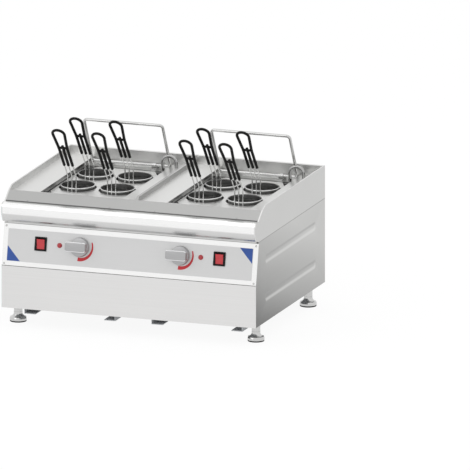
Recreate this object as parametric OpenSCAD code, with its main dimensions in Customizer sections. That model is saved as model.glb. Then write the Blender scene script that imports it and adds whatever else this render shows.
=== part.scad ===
// Counter-top electric pasta cooker with two tanks and eight round lift-out baskets.
// Pieces are drawn in the casing's own frame: X from the middle, Y from the skirt's face towards the rear,
// Z from the casing's underside. The last step moves that frame so the origin is on the floor, under the
// middle of the whole object.

/* [Casing] */
// Overall width of the casing
body_w = 800; // [780:10:960]
// Depth from the skirt's face to the rear edge
body_d = 616; // [600:4:680]
// Thickness of the casing sheet
sheet_t = 2; // [1.5:0.5:3]
// Thickness of the folded side walls of the top casing
wall_t = 4; // [3:0.5:6]
// Height of the plain front skirt
skirt_h = 128; // [116:2:150]
// Height of the control panel
panel_h = 124; // [116:2:140]
// How far the control panel leans back over its height
panel_lean = 26; // [16:1:36]
// Height of the bullnose front rail
nose_h = 67; // [60:1:76]
// How far the bullnose stands out from the top of the control panel
nose_reach = 30; // [26:1:40]
// Rounding of the bullnose's upper front edge
nose_r = 14; // [8:1:20]
// Depth of the sloped fascia above the bullnose
fascia_d = 36; // [28:1:48]
// Rise of the sloped fascia
fascia_rise = 26; // [20:1:32]
// Rise of the side walls above the top of the fascia
wall_lip = 11; // [6:1:14]
// Length of the slope at the front end of the side walls
wall_slope = 28; // [16:1:40]
// Depth of the rounded panel pressed into each side
emboss_depth = 3; // [1:0.5:5]
// Margin of the pressed panel from the front of the side
emboss_front = 83; // [60:1:120]
// Margin of the pressed panel from the rear of the side
emboss_rear = 80; // [60:1:120]
// Height of the pressed panel's lower edge
emboss_low = 70; // [50:1:90]
// Height of the pressed panel's upper edge
emboss_high = 206; // [170:1:220]
// Rounding of the pressed panel's corners
emboss_r = 26; // [10:1:40]
// Height of the base pan's sides
pan_h = 18; // [12:1:30]

/* [Worktop] */
// Drop from the top of the side walls to the worktop's outer edge
edge_drop = 19; // [12:1:24]
// Fall of the worktop towards each well
worktop_fall = 13; // [8:1:18]
// Depth of the well that holds a basket plate
well_depth = 16.5; // [12:0.5:22]
// Width of a well
well_w = 258; // [252:2:280]
// Distance from the skirt's face to the front of the wells
well_front = 146; // [130:2:160]
// Depth of the hollow rail along the rear edge
rear_rail_d = 12; // [10:1:16]
// Height of the rib between the two wells
divider_h = 14; // [8:1:18]
// Width of the rib between the two wells
divider_w = 8; // [5:1:14]

/* [Tanks] */
// Depth of a tank below its rim
tank_depth = 185; // [160:5:200]
// Thickness of the tank's wall
tank_t = 2; // [1.5:0.5:3]
// Rounding of the tank's upright corners
tank_r = 10; // [6:1:40]
// Width of the ledge along the sides and front of a well
ledge_w = 9; // [8:0.5:16]
// Depth of the shelf behind a tank
shelf_d = 62; // [50:1:80]
// Height of the false bottom's top face above the tank's floor
false_bottom_h = 32; // [26:1:44]
// Diameter of the heating tube
element_d = 9; // [6:0.5:11]
// Bending radius of the heating tube's hairpins
element_bend = 24; // [18:1:28]
// Distance from the tank's side to the middle of a hairpin
element_edge = 63; // [56:1:70]
// Outer diameter of the drain pipe
drain_d = 26; // [20:1:34]

/* [Basket plates] */
// Thickness of a basket plate
plate_t = 3; // [2:0.5:5]
// Play between a basket plate and its well
plate_play = 5; // [2:0.5:6]
// How far a basket plate reaches over the rear shelf
plate_seat = 8; // [4:1:14]
// Width of the cut corners
cut_w = 35; // [26:1:42]
// Length of the cut corners
cut_l = 70; // [50:1:84]
// Distance from a basket's hole to the side of the plate
hole_edge = 5; // [3:0.5:10]
// Width of the web between two holes side by side
hole_web = 12; // [8:0.5:16]
// Distance between the holes from front to rear
pitch_y = 156; // [140:1:166]
// How far the holes lie behind the middle of the plate
grid_back = 18; // [0:1:24]

/* [Baskets] */
// Play between a basket's rim and its hole
rim_play = 4; // [3:0.5:8]
// Wire thickness of the rim
rim_wire = 4; // [3:0.5:5]
// Height of the rim's wire above the basket plate
rim_rise = 7; // [3:0.5:10]
// Thickness of the cup's wall
cup_t = 1.5; // [1:0.25:2.5]
// Number of upright bars round the cup
cup_bars = 16; // [12:2:32]
// Number of rows of openings in the cup
cup_rows = 4; // [3:1:7]
// Width of the cup's bars
cup_bar_w = 3; // [2:0.5:5]
// Height of the cup's bands
cup_band_h = 5; // [4.5:0.5:8]
// Thickness of the handle wires
wire_d = 3.6; // [2.5:0.1:4]
// Distance between the handle wires
wire_gap = 13; // [10:1:15]
// Height of the handle's upright part above the rim
knee_h = 43; // [36:1:60]
// Bending radius of the handle wires
knee_r = 15; // [8:1:24]
// Forward lean of the handle, in degrees
handle_lean = 37.5; // [28:0.5:40]
// Bare length of the leaning wires below the grip
bare_l = 45; // [30:1:56]
// Length of the grip's three sleeves
sleeve_l = 81; // [60:1:90]
// Length of the grip's loop above its crossbar
loop_l = 87; // [70:1:110]
// Bending radius of the loop's end
loop_r = 18.5; // [15:0.5:22]
// Thickness of the coated grip
grip_d = 8.5; // [6:0.1:9]

/* [Basket hangers and water spouts] */
// Tube thickness of a hanger frame
hanger_tube = 9; // [8:0.5:12]
// Play between a hanger frame and the sides of its well
hanger_play = 1.5; // [1:0.5:12]
// Length of a hanger frame between the middles of its bars
hanger_l = 158; // [120:1:170]
// Forward lean of a hanger frame, in degrees
hanger_lean = 27; // [18:1:30]
// Bending radius of a hanger frame's corners
hanger_bend = 10; // [8:1:30]
// Height of the lower bar above the rear shelf
hanger_rise = 12.5; // [9:0.5:16]
// Distance of the lower bar from the wall behind it
hanger_back = 14; // [11:1:20]
// Distance of a hanger frame's clips from its middle
clip_x = 72; // [40:1:90]
// Width of a clip
clip_w = 14; // [10:1:20]
// Thickness of a clip's saddle round the tube
clip_t = 2.5; // [1.5:0.5:3.5]
// Tube thickness of a water spout
spout_tube = 10; // [8:0.5:14]
// Distance between the two legs of a spout
spout_gap = 43; // [38:1:56]
// Distance of a spout's middle from the side of its well
spout_out = 9; // [7:1:15]
// Distance of a spout from the wall behind the well
spout_back = 64; // [54:1:70]
// Height of a spout's top above the side walls
spout_top = 13; // [6:1:30]

/* [Controls] */
// Height of the row of controls above the skirt
control_up = 71; // [60:1:80]
// Distance of the knobs from the middle of their module, towards the middle of the panel
knob_in = 42; // [30:1:60]
// Distance of the signal lamps from the middle of their module, towards the side
lamp_out = 22; // [16:1:30]
// Distance of the switches from the middle of their module, towards the side
switch_out = 81; // [70:1:100]
// Diameter of a knob's disc
knob_d = 59; // [50:1:66]
// Thickness of a knob's disc
knob_disc_t = 12; // [8:1:16]
// Height of a knob's bar above its disc
knob_bar_h = 18; // [12:1:24]
// Width of a knob's bar
knob_bar_w = 26; // [16:1:30]
// Reach of the bar's pointing end from the spindle
knob_point = 38; // [30:1:42]
// Reach of the bar's other end from the spindle
knob_tail = 17; // [12:1:24]
// Width of a switch's frame
switch_w = 37; // [34:1:42]
// Height of a switch's frame
switch_h = 42; // [40:1:48]
// Diameter of a signal lamp's lens
lamp_d = 15; // [10:1:18]
// Width of the bright border round the panel's face
border_w = 15; // [12:1:20]

/* [Legs] */
// Clear height under the casing
leg_h = 57; // [50:1:70]
// Distance of the legs from the casing's sides
leg_inset_x = 26; // [26:1:40]
// Distance of the legs from the skirt and from the rear
leg_inset_y = 76; // [60:1:100]
// Diameter of a leg's sleeve
sleeve_d = 26; // [22:1:30]
// Diameter of a foot
foot_d = 51; // [44:1:52]
// Thickness of a foot's rubber sole
sole_t = 4; // [3:0.5:6]
// Depth of the base rails below the casing
rail_h = 14; // [10:1:18]
// Width of the base rails
rail_w = 33; // [26:1:38]
// Gap between a module's left rail and the line of the legs' plates
rail_left_gap = 27; // [10:1:40]
// Gap between a module's right rail and the line of the legs' plates
rail_right_gap = 3; // [2:1:30]

/* [Hidden] */
$fn = 48;
SIDES = ["left", "right"];
CORNERS = ["front_left", "front_right", "rear_left", "rear_right"];

// Clearances
seat_gap = 0.3;
shaft_play = 0.05;
panel_gap = 1.5;
cut_over = 1;

// A straight length of wire is this much thicker than its bend, and laps over it
bend_step = 0.2;
bend_lap = 0.8;

// Levels of the casing
panel_top = skirt_h + panel_h;
nose_top = panel_top + nose_h;
fascia_top = nose_top + fascia_rise;
body_h = fascia_top + wall_lip;
seam_z = panel_top + 5;
edge_z = body_h - edge_drop;
well_z = edge_z - worktop_fall;
well_floor_z = well_z - well_depth;
fascia_y = panel_lean + fascia_d;
well_rear = body_d - rear_rail_d;
rear_panel_y = body_d - 18;
rear_face_y = rear_panel_y + sheet_t;

// Middle of each of the two cooking modules
module_w = body_w / 2;
function module_x(side) = side * module_w / 2;

// Tanks
tank_w = well_w - 2 * ledge_w;
tank_front = well_front + ledge_w;
tank_rear = well_rear - shelf_d;
tank_l = tank_rear - tank_front;
tank_y = (tank_front + tank_rear) / 2;
tank_rim_z = well_floor_z - sheet_t;
tank_floor_z = tank_rim_z - tank_depth;
false_bottom_z = tank_floor_z + false_bottom_h;
false_bottom_t = 2;
element_z = tank_floor_z + (false_bottom_h - false_bottom_t) / 2;
hairpin_x = tank_w / 2 - element_edge;
element_legs = [for (h = [-1, 1], e = [-1, 1]) h * hairpin_x + e * element_bend];
element_flange_w = 2 * (hairpin_x + element_bend) + 44;
drain_y = tank_rear - 62;
drain_bend = 32;
drain_z = 42;

// Basket plates
plate_w = well_w - 2 * plate_play;
plate_front = well_front + plate_play;
plate_rear = tank_rear + plate_seat;
plate_l = plate_rear - plate_front;
plate_y = (plate_front + plate_rear) / 2;
plate_top = well_floor_z + plate_t;
hole_d = (plate_w - 2 * hole_edge - hole_web) / 2;
pitch_x = hole_d + hole_web;

// Baskets
rim_d = hole_d - 2 * rim_play;
rim_r = (rim_d - rim_wire) / 2;
rim_z = plate_top + rim_rise;
cup_r = rim_r - rim_wire / 4;
cup_h = rim_z - false_bottom_z - seat_gap;
row_h = (cup_h - 2 * cup_band_h) / cup_rows;
hoop_drop = cup_band_h + row_h;
wire_y = sqrt(pow(rim_r + rim_wire / 2, 2) - pow(wire_gap, 2)) + wire_d / 2 - 0.5;
socket_l = 12;
bar_z = bare_l + sleeve_l;
loop_z = loop_l - loop_r - grip_d / 2;
loop_slope = atan2(loop_z, wire_gap) - acos(loop_r / norm([wire_gap, loop_z]));

// Hanger frames, spouts and the cable's entry
hanger_w = well_w - 2 * hanger_play - hanger_tube;
spout_x = well_w / 2 + spout_out;
inlet_z = 222;
inlet_bend = 24;
inlet_d = 20.9;
gland_z = 190;
gland_d = 20;
gland_bore = 10;

// Controls
knob_x = module_w / 2 - knob_in;
lamp_x = module_w / 2 + lamp_out;
switch_x = module_w / 2 + switch_out;
panel_angle = atan(panel_lean / panel_h);
panel_len = norm([panel_lean, panel_h]);
overlay_t = 0.8;
row_up = control_up / cos(panel_angle);
knob_lift = overlay_t + 0.7;
knob_bar_top = knob_lift + knob_disc_t + knob_bar_h;
spindle_r = 3;
rocker_w = 24;
rocker_h = 32;
rocker_throw = 10;
rocker_pivot = -1;
rocker_pin_r = 1.5;
rocker_pin_l = 1.8;
rocker_reach = 5;

// Distance from the skirt's face to the foremost point, at the lower outer edge of the knobs' bars
front_reach = knob_bar_top * cos(panel_angle) + knob_bar_w / 2 * sin(panel_angle)
    - panel_lean * control_up / panel_h;
mid_y = (body_d - front_reach) / 2;

// Legs
sleeve_l_leg = 27;
foot_top = -sleeve_l_leg - seat_gap;
stem_r = sleeve_d / 2 - 3;
leg_plate = 36;
leg_plate_t = 3;
rail_reach = module_w / 2 - leg_inset_x - leg_plate / 2;

function side_sign(name) = name == "left" ? -1 : 1;
function corner_sign(name) = [
    name == "front_left" || name == "rear_left" ? -1 : 1,
    name == "front_left" || name == "front_right" ? -1 : 1
];
function arc(centre, r, from, to, steps = 12) = [
    for (i = [0:steps])
        let (a = from + (to - from) * i / steps) centre + r * [cos(a), sin(a)]
];
function inlet_x(s) = module_x(s) + spout_x + spout_gap / 2;
function unit(v) = v / norm(v);
function turned(v) = [-v[1], v[0]];
function mitre(a, b, c) =
    let (m = turned(unit(b - a)), n = turned(unit(c - b))) (m + n) / (1 + m * n);
function inset(path, t) = [
    for (i = [0:len(path) - 1])
        i == 0 ? path[0] + t * turned(unit(path[1] - path[0]))
        : i == len(path) - 1 ? path[i] + t * turned(unit(path[i] - path[i - 1]))
        : path[i] + t * mitre(path[i - 1], path[i], path[i + 1])
];
function reversed(list) = [for (i = [len(list) - 1:-1:0]) list[i]];

// Front outline of the bullnose, from its top rear edge round to its lower rear edge
nose_front = panel_lean - nose_reach;
nose_profile = concat(
    [[panel_lean, nose_top]],
    arc([nose_front + nose_r, nose_top - nose_r], nose_r, 90, 180),
    [
        [nose_front, panel_top + 0.54 * nose_h],
        [nose_front + 0.13 * nose_reach, panel_top + 0.42 * nose_h],
        [nose_front + 0.47 * nose_reach, panel_top + 0.15 * nose_h],
        [panel_lean, panel_top]
    ]
);

// Moves the casing's frame to the part's frame
module placed() translate([0, -mid_y, leg_h]) children();

// Extrudes an outline of Y and Z across the casing, centred on the middle
module across(length) rotate([90, 0, 90]) linear_extrude(length, center = true) children();

// A bent sheet whose outer face follows a path, with its thickness on the path's left
module bent_sheet(path, t) polygon(concat(path, reversed(inset(path, t))));

module rounded_rect(w, l, r) {
    square([w - 2 * r, l], center = true);
    square([w, l - 2 * r], center = true);
    for (sx = [-1, 1], sy = [-1, 1])
        translate([sx * (w / 2 - r), sy * (l / 2 - r)]) circle(r);
}

// A tube bent round the Z axis, from the X axis on
module tube_bend(bend_r, tube_d, angle)
    rotate_extrude(angle = angle) translate([bend_r, 0]) circle(d = tube_d);

// A frame on the leaning control panel, at the row of controls, with Z out of the panel's face
module on_panel(x) translate([x, 0, skirt_h]) rotate([90 - panel_angle, 0, 0])
    translate([0, row_up, 0]) children();

// Casing

module base_pan() color("gainsboro") difference() {
    translate([-body_w / 2 + sheet_t, sheet_t, 0])
        cube([body_w - 2 * sheet_t, rear_panel_y - sheet_t, pan_h]);
    translate([-body_w / 2 + 2 * sheet_t, 2 * sheet_t, sheet_t])
        cube([body_w - 4 * sheet_t, rear_panel_y - 3 * sheet_t, pan_h]);
    for (s = [-1, 1], row = [-1, 0, 1], i = [-6:6])
        translate([module_x(s) + i * 18, tank_y + row * 110, -cut_over])
            linear_extrude(sheet_t + 2 * cut_over) rounded_rect(7, 80, 3.4);
}

// Two angle rails under each module, their flanges turned towards each other
module base_rails() color("dimgray") for (s = [-1, 1], e = [-1, 1])
    translate([module_x(s) + (e < 0 ? rail_left_gap - rail_reach : rail_reach - rail_right_gap), 8, 0])
        rotate([90, 0, 180])
            linear_extrude(rear_panel_y - 16)
                bent_sheet([[0, 0], [0, -rail_h], [e * rail_w, -rail_h]], -e * sheet_t);

module front_skirt() color("whitesmoke") {
    across(body_w) square([sheet_t, skirt_h]);
    across(body_w - 2 * (sheet_t + seat_gap)) translate([0, skirt_h - sheet_t]) square([14, sheet_t]);
}

module control_panel() color("white") difference() {
    union() {
        translate([0, 0, skirt_h]) rotate([90 - panel_angle, 0, 0])
            translate([-body_w / 2, panel_gap, -sheet_t]) cube([body_w, panel_len - panel_gap, sheet_t]);
        translate([0, 0, skirt_h]) rotate([90 - panel_angle, 0, 0]) for (v = [panel_gap, panel_len - sheet_t])
            translate([-body_w / 2 + 3 * sheet_t, v, -6]) cube([body_w - 6 * sheet_t, sheet_t, 6]);
    }
    control_holes();
}

// Holes for the spindles, lamps and switches, and for the screws, through panel and overlay
module control_holes() for (s = [-1, 1]) {
    on_panel(s * knob_x) cylinder(r = spindle_r + 1, h = 40, center = true);
    on_panel(s * lamp_x) cylinder(d = lamp_d - 4, h = 40, center = true);
    on_panel(s * switch_x) cube([switch_w - 6, switch_h - 6, 40], center = true);
}

module panel_overlay() color("lightgray") difference() {
    translate([0, 0, skirt_h]) rotate([90 - panel_angle, 0, 0])
        translate([0, panel_len / 2, 0]) linear_extrude(overlay_t)
            square([body_w - 2 * border_w, panel_len - 2 * border_w], center = true);
    control_holes();
}

module panel_screws() color("gray")
    for (sx = [-1, 1], v = [border_w / 2, panel_len - border_w / 2])
        translate([0, 0, skirt_h]) rotate([90 - panel_angle, 0, 0])
            translate([sx * (body_w / 2 - border_w / 2), v, 0]) difference() {
                cylinder(d1 = 7, d2 = 5, h = 2);
                translate([0, 0, 2]) cube([8, 1, 1.4], center = true);
            }

module bullnose_rail() color("white") across(body_w - 2 * wall_t) bent_sheet(nose_profile, sheet_t);

// The pressed top of the casing: side walls, fascia, worktop, wells, rib and rear rail
module top_casing() color("gainsboro") {
    for (s = [-1, 1]) translate([s * (body_w - wall_t) / 2, 0, 0]) across(wall_t) polygon(concat(
        [[body_d, seam_z], [body_d, body_h], [fascia_y + wall_slope, body_h], [fascia_y, fascia_top]],
        [for (p = nose_profile) if (p[1] > seam_z) p],
        [[panel_lean, seam_z]]
    ));
    across(body_w - wall_t) polygon([
        [panel_lean, seam_z], [panel_lean + sheet_t, seam_z],
        [panel_lean + sheet_t, nose_top - sheet_t / 2], [panel_lean, nose_top - sheet_t / 2]
    ]);
    across(body_w - wall_t) bent_sheet([
        [well_rear, well_z - 2 * sheet_t], [well_rear, body_h], [body_d, body_h], [body_d, seam_z]
    ], -sheet_t);
    worktop();
    across(divider_w) polygon([
        [fascia_y + 8, edge_z - 3 * sheet_t], [fascia_y + 8, edge_z],
        [fascia_y + 8 + divider_h, edge_z + divider_h],
        [well_rear + sheet_t / 2, edge_z + divider_h], [well_rear + sheet_t / 2, edge_z - 3 * sheet_t]
    ]);
}

// The space above the fascia and the worktop, which falls from its edges and its middle to the two wells
module worktop_space() {
    sky = body_h + 20;
    rear = well_rear + sheet_t / 2;
    edge_x = (body_w - wall_t) / 2;
    well_in = module_w / 2 - well_w / 2;
    well_out = module_w / 2 + well_w / 2;
    out_z = well_z + worktop_fall * (edge_x - well_out) / well_in;
    falls = [[well_in, well_z], [well_out, well_z], [edge_x, out_z]];
    intersection() {
        union() {
            translate([0, rear, 0]) rotate([90, 0, 0]) linear_extrude(rear - fascia_y) polygon(concat(
                [[-edge_x, sky]], [for (p = reversed(falls)) [-p[0], p[1]]],
                [[0, edge_z]], falls, [[edge_x, sky]]
            ));
            translate([-edge_x, panel_lean, panel_top]) cube([2 * edge_x, fascia_d, sky - panel_top]);
        }
        across(2 * edge_x) polygon([
            [panel_lean, sky], [panel_lean, nose_top], [fascia_y, fascia_top], [well_front, well_z],
            [rear, well_z], [rear, sky]
        ]);
    }
}

// One sheet with two open wells, each with a floor that has the tank's opening
module worktop() difference() {
    well_l = well_rear - well_front;
    leg_x = spout_x + spout_gap / 2;
    union() {
        difference() {
            translate([0, 0, -sheet_t]) worktop_space();
            worktop_space();
        }
        for (s = [-1, 1]) translate([module_x(s) - well_w / 2 - sheet_t, well_front - sheet_t, tank_rim_z])
            cube([well_w + 2 * sheet_t, well_l + 2 * sheet_t, well_z - tank_rim_z - sheet_t / 2]);
    }
    for (s = [-1, 1]) translate([module_x(s), 0, 0]) {
        translate([-well_w / 2, well_front, well_floor_z]) cube([well_w, well_l, body_h]);
        translate([0, tank_y, tank_rim_z - cut_over]) linear_extrude(body_h)
            rounded_rect(tank_w, tank_l, tank_r);
        translate([leg_x, well_rear - spout_back, tank_rim_z])
            cylinder(d = spout_tube + 2 * shaft_play, h = 60);
    }
}

// A side sheet with a rounded panel pressed into it
module side_panel(name) color("silver") {
    side = side_sign(name);
    difference() {
        union() {
            translate([side * (body_w - sheet_t) / 2, 0, 0]) across(sheet_t) side_outline();
            side_press(side, emboss_depth + sheet_t, sheet_t);
        }
        side_press(side, emboss_depth, 0);
        translate([side * emboss_depth, 0, 0]) side_press(side, emboss_depth, 0);
    }
}

module side_outline() polygon([
    [sheet_t, 0], [sheet_t, skirt_h], [sheet_t / cos(panel_angle), skirt_h],
    [panel_lean + sheet_t / cos(panel_angle), panel_top],
    [panel_lean + sheet_t / cos(panel_angle), seam_z], [body_d, seam_z], [body_d, 0]
]);

// The outline of the pressed panel, with a margin all round, from the side's face to a depth
module side_press(side, depth, margin) {
    press_l = body_d - emboss_front - emboss_rear;
    press_h = emboss_high - emboss_low;
    translate([side * (body_w - depth) / 2, emboss_front + press_l / 2, emboss_low + press_h / 2])
        rotate([90, 0, 90]) linear_extrude(depth, center = true)
            rounded_rect(press_l + 2 * margin, press_h + 2 * margin, emboss_r + margin);
}

module rear_panel() color("silver") difference() {
    across(body_w - 2 * sheet_t) bent_sheet([
        [rear_panel_y, 0], [rear_panel_y, seam_z - sheet_t], [body_d - sheet_t, seam_z - sheet_t]
    ], -sheet_t);
    for (s = [-1, 1]) {
        translate([inlet_x(s), rear_panel_y, inlet_z]) rotate([90, 0, 0])
            cylinder(d = spout_tube + 2 * shaft_play, h = 30, center = true);
        translate([module_x(s), rear_panel_y, drain_z]) rotate([90, 0, 0])
            cylinder(d = drain_d + 2 * shaft_play, h = 30, center = true);
        for (i = [-4:4]) translate([module_x(s) + i * 16, rear_panel_y, 130]) rotate([90, 0, 0])
            linear_extrude(30, center = true) rounded_rect(6, 70, 2.9);
    }
    translate([0, rear_panel_y, gland_z]) rotate([90, 0, 0]) cylinder(d = gland_d, h = 30, center = true);
}

// Tanks and what is in them

module tank(name) color("gainsboro") translate([module_x(side_sign(name)), tank_y, 0]) difference() {
    union() {
        translate([0, 0, tank_floor_z - tank_t]) linear_extrude(tank_depth + tank_t)
            rounded_rect(tank_w + 2 * tank_t, tank_l + 2 * tank_t, tank_r + tank_t);
        translate([0, 0, tank_rim_z - tank_t]) linear_extrude(tank_t)
            rounded_rect(tank_w + 2 * ledge_w, tank_l + 2 * ledge_w, tank_r + ledge_w);
    }
    translate([0, 0, tank_floor_z]) linear_extrude(tank_depth + cut_over)
        rounded_rect(tank_w, tank_l, tank_r);
    translate([0, drain_y - tank_y, tank_floor_z - 10]) cylinder(d = drain_d - 4, h = 20);
    for (x = element_legs) translate([x, -tank_l / 2, element_z]) rotate([90, 0, 0])
        cylinder(d = element_d + 2 * shaft_play, h = 30, center = true);
}

// Two hairpins of heating tube on one flange behind the tank's front wall
module heating_element(name) color("dimgray")
    translate([module_x(side_sign(name)), tank_front - tank_t, element_z]) {
        hairpin_l = tank_l - 90;
        for (h = [-1, 1]) {
            for (e = [-1, 1]) translate([h * hairpin_x + e * element_bend, -30, 0]) rotate([-90, 0, 0])
                cylinder(d = element_d, h = hairpin_l + 30);
            translate([h * hairpin_x, hairpin_l, 0]) tube_bend(element_bend, element_d, 180);
        }
        difference() {
            translate([-element_flange_w / 2, -4, -14]) cube([element_flange_w, 4, 28]);
            for (x = element_legs) translate([x, 0, 0]) rotate([90, 0, 0])
                cylinder(d = element_d - 1, h = 20, center = true);
        }
    }

module false_bottoms() color("silver") for (s = [-1, 1])
    translate([module_x(s), tank_y, false_bottom_z - false_bottom_t]) {
        plate_x = tank_w - 8;
        plate_len = tank_l - 8;
        difference() {
            linear_extrude(false_bottom_t) rounded_rect(plate_x, plate_len, tank_r);
            for (i = [-5:5], j = [-1, 0, 1]) translate([i * 18, j * 110, -cut_over])
                linear_extrude(false_bottom_t + 2 * cut_over) rounded_rect(8, 90, 3.9);
        }
        for (sx = [-1, 1], sy = [-1, 1]) translate([sx * (plate_x / 2 - 9), sy * (plate_len / 2 - 30), 0])
            translate([0, 0, false_bottom_t - false_bottom_h])
                cylinder(d = 10, h = false_bottom_h - false_bottom_t);
    }

// A drain pipe from each tank's floor to the rear, each closed by a screw cap
module drain_pipes() color("silver") for (s = [-1, 1]) translate([module_x(s), drain_y, 0]) {
    pipe_top = tank_floor_z - tank_t;
    pipe_end = body_d - drain_y - 6;
    difference() {
        union() {
            translate([0, 0, drain_z + drain_bend])
                cylinder(d = drain_d, h = pipe_top - drain_z - drain_bend);
            translate([0, drain_bend, drain_z + drain_bend]) rotate([90, 0, 90]) rotate([0, 0, 180])
                tube_bend(drain_bend, drain_d, 90);
            translate([0, drain_bend, drain_z]) rotate([-90, 0, 0])
                cylinder(d = drain_d, h = pipe_end - drain_bend);
        }
        translate([0, 0, drain_z + drain_bend]) cylinder(d = drain_d - 4, h = pipe_top);
    }
    translate([0, pipe_end, drain_z]) rotate([-90, 0, 0]) difference() {
        translate([0, 0, -6]) cylinder(d = drain_d + 8, h = 11);
        translate([0, 0, -6 - cut_over]) cylinder(d = drain_d + 2 * shaft_play, h = 6 + cut_over);
    }
}

// Basket plates and baskets

module basket_plate(name) color("gainsboro")
    translate([module_x(side_sign(name)), plate_y, well_floor_z]) difference() {
    x = plate_w / 2;
    y = plate_l / 2;
    linear_extrude(plate_t) polygon([
        [-x + cut_w, -y], [x - cut_w, -y], [x, -y + cut_l], [x, y - cut_l],
        [x - cut_w, y], [-x + cut_w, y], [-x, y - cut_l], [-x, -y + cut_l]
    ]);
    for (sx = [-1, 1], sy = [-1, 1]) translate([sx * pitch_x / 2, grid_back + sy * pitch_y / 2, -cut_over])
        cylinder(d = hole_d, h = plate_t + 2 * cut_over);
}

// The middle of a basket's rim
module at_basket(name, corner) translate([
    module_x(side_sign(name)) + corner_sign(corner)[0] * pitch_x / 2,
    plate_y + grid_back + corner_sign(corner)[1] * pitch_y / 2,
    rim_z
]) children();

// The upper end of a handle wire's bend, with Z along the leaning handle
module on_handle() translate([0, -wire_y - knee_r * (1 - cos(handle_lean)), knee_h])
    rotate([handle_lean, 0, 0]) children();

// An open cup hung from a wire rim, with three wires that carry its grip
module basket(name, corner) color("silver") at_basket(name, corner) {
    for (z = [0, -hoop_drop]) translate([0, 0, z])
        rotate_extrude() translate([rim_r, 0]) circle(d = rim_wire);
    basket_cup();
    for (i = [-1, 0, 1]) translate([i * wire_gap, 0, 0]) {
        bend_z = knee_h - knee_r * sin(handle_lean);
        translate([0, -wire_y, -hoop_drop - 4]) cylinder(d = wire_d, h = bend_z + hoop_drop + 4 + bend_lap);
        translate([0, -wire_y - knee_r, bend_z]) rotate([90, 0, 90])
            tube_bend(knee_r, wire_d - bend_step, handle_lean);
        on_handle() translate([0, 0, -bend_lap]) cylinder(d = wire_d, h = bend_lap + bare_l + socket_l);
    }
}

module basket_cup() difference() {
    window_w = 2 * PI * cup_r / cup_bars - cup_bar_w;
    translate([0, 0, -cup_h]) cylinder(r = cup_r, h = cup_h);
    translate([0, 0, -cup_h + cup_t]) cylinder(r = cup_r - cup_t, h = cup_h);
    for (row = [0:cup_rows - 1], i = [0:cup_bars - 1]) rotate([0, 0, (i + 0.5) * 360 / cup_bars])
        translate([cup_r, 0, -cup_band_h - (row + 0.5) * row_h])
            cube([12, window_w, row_h - cup_band_h], center = true);
    for (i = [0:7]) rotate([0, 0, i * 45]) translate([0.62 * cup_r, 0, -cup_h - cut_over])
        cylinder(d = 0.3 * cup_r, h = cup_t + 2 * cut_over);
    translate([0, 0, -cup_h - cut_over]) cylinder(d = 0.5 * cup_r, h = cup_t + 2 * cut_over);
}

// The coated grip: three sleeves on the wires, a crossbar and a loop
module grip(name, corner) color("black") at_basket(name, corner) on_handle() {
    difference() {
        union() {
            for (i = [-1, 0, 1]) translate([i * wire_gap, 0, bare_l]) cylinder(d = grip_d, h = sleeve_l);
            translate([0, 0, bar_z]) rotate([0, 90, 0])
                cylinder(d = grip_d - 1, h = 2 * wire_gap, center = true);
            for (i = [-1, 0, 1]) translate([i * wire_gap, 0, bar_z]) sphere(d = grip_d + 1);
        }
        for (i = [-1, 0, 1]) translate([i * wire_gap, 0, bare_l - cut_over])
            cylinder(d = wire_d + 2 * shaft_play, h = socket_l + cut_over + seat_gap);
    }
    translate([0, 0, bar_z]) cylinder(d = grip_d, h = grip_d);
    for (i = [-1, 1]) translate([i * wire_gap, 0, bar_z]) rotate([0, i * loop_slope, 0])
        cylinder(d = grip_d, h = sqrt(pow(norm([wire_gap, loop_z]), 2) - loop_r * loop_r) + bend_lap);
    translate([0, 0, bar_z + loop_z]) rotate([90, loop_slope, 0])
        tube_bend(loop_r, grip_d - bend_step, 180 + 2 * loop_slope);
}

// Hanger frames and spouts

module at_hanger(name) translate([
    module_x(side_sign(name)), well_rear - hanger_back, well_floor_z + hanger_rise
]) children();

// A closed ring of tube, leaning forward over the rear of the tank
module hanger_frame(name) color("silver") at_hanger(name) rotate([90 + hanger_lean, 0, 0])
    translate([0, hanger_l / 2, 0]) {
        x = hanger_w / 2 - hanger_bend;
        y = hanger_l / 2 - hanger_bend;
        for (e = [-1, 1]) {
            translate([-x, e * hanger_l / 2, 0]) rotate([0, 90, 0]) cylinder(d = hanger_tube, h = 2 * x);
            translate([e * hanger_w / 2, -y, 0]) rotate([-90, 0, 0]) cylinder(d = hanger_tube, h = 2 * y);
        }
        for (q = [[1, 1, 0], [-1, 1, 90], [-1, -1, 180], [1, -1, 270]])
            translate([q[0] * x, q[1] * y, 0]) rotate([0, 0, q[2]]) tube_bend(hanger_bend, hanger_tube, 90);
    }

module hanger_clips() color("silver")
    for (s = SIDES, e = [-1, 1]) at_hanger(s) translate([e * clip_x, 0, 0]) difference() {
    union() {
        rotate([0, 90, 0]) cylinder(d = hanger_tube + 2 * clip_t, h = clip_w, center = true);
        translate([-clip_w / 2, -6, -hanger_rise]) cube([clip_w, 12, hanger_rise]);
        translate([-clip_w / 2, -14, -hanger_rise]) cube([clip_w, 22, sheet_t]);
    }
    rotate([0, 90, 0]) cylinder(d = hanger_tube + 2 * shaft_play, h = 30, center = true);
}

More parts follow.
